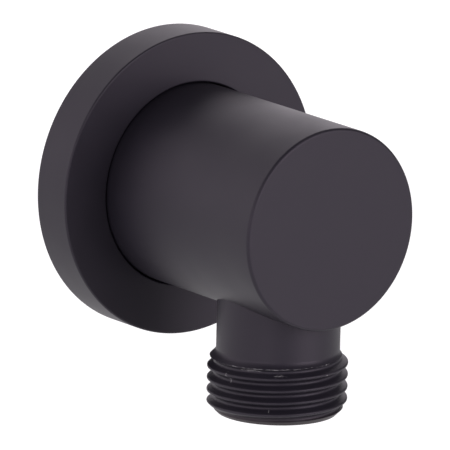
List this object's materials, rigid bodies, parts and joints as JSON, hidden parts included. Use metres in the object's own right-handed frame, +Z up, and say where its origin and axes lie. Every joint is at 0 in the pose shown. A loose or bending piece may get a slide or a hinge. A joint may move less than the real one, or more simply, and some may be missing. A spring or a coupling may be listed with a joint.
{
  "type": "wall outlet elbow",
  "caption": "Round wall outlet elbow: a slip-on cover flange, a closed cylindrical barrel and a downward male pipe thread that feeds a shower hose.",
  "frame": {"origin": "where the inlet axis meets the wall, at the centre of the flange's back face", "axes": "+Y along the inlet axis into the wall, -Y out into the room along the barrel, -Z down along the outlet, +Z up"},
  "size_m": [0.046, 0.042, 0.053],
  "materials": {
    "black_coat": "matte black coat over brass",
    "seal_rubber": "matte moulded rubber"
  },
  "bodies": {
    "elbow": {"elbow_body": "black_coat"},
    "flange": {"wall_flange": "black_coat", "flange_o_ring": "seal_rubber"}
  },
  "joints": [
    {"name": "flange_slide", "type": "slide", "parent": "elbow", "child": "flange", "axis": [0, -1, 0], "range_m": [0, 0.012]}
  ]
}
